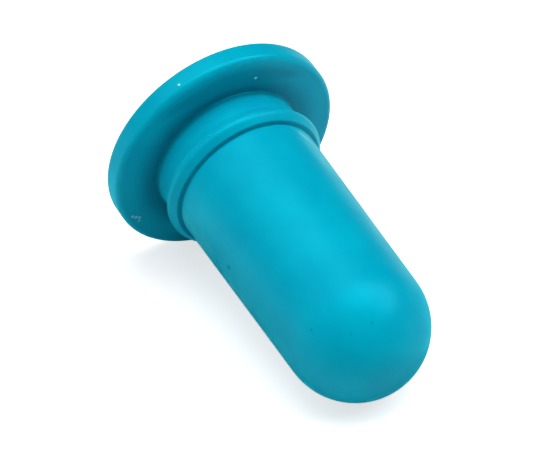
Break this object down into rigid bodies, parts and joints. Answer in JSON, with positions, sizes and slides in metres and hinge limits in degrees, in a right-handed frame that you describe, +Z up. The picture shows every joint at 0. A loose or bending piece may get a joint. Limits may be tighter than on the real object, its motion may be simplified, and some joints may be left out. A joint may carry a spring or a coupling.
{
  "type": "pipette filler bulb",
  "caption": "Soft hollow rubber bulb with a wide flange at the mouth, a short neck with a raised ring, and a rounded closed end, squeezed to draw liquid into a pipette.",
  "frame": {"origin": "middle of the lying bulb's footprint, on the surface it lies on", "axes": "+Z up from the surface, +X from the mouth towards the closed end, +Y across; the bulb's own axis slopes down towards +X by 10.46 degrees, because it rests on the flange's rim and the dome"},
  "size_m": [0.063, 0.0416, 0.0414],
  "materials": {
    "turquoise_rubber": "satin moulded rubber"
  },
  "bodies": {
    "root": {"bulb": "turquoise_rubber"}
  },
  "joints": []
}
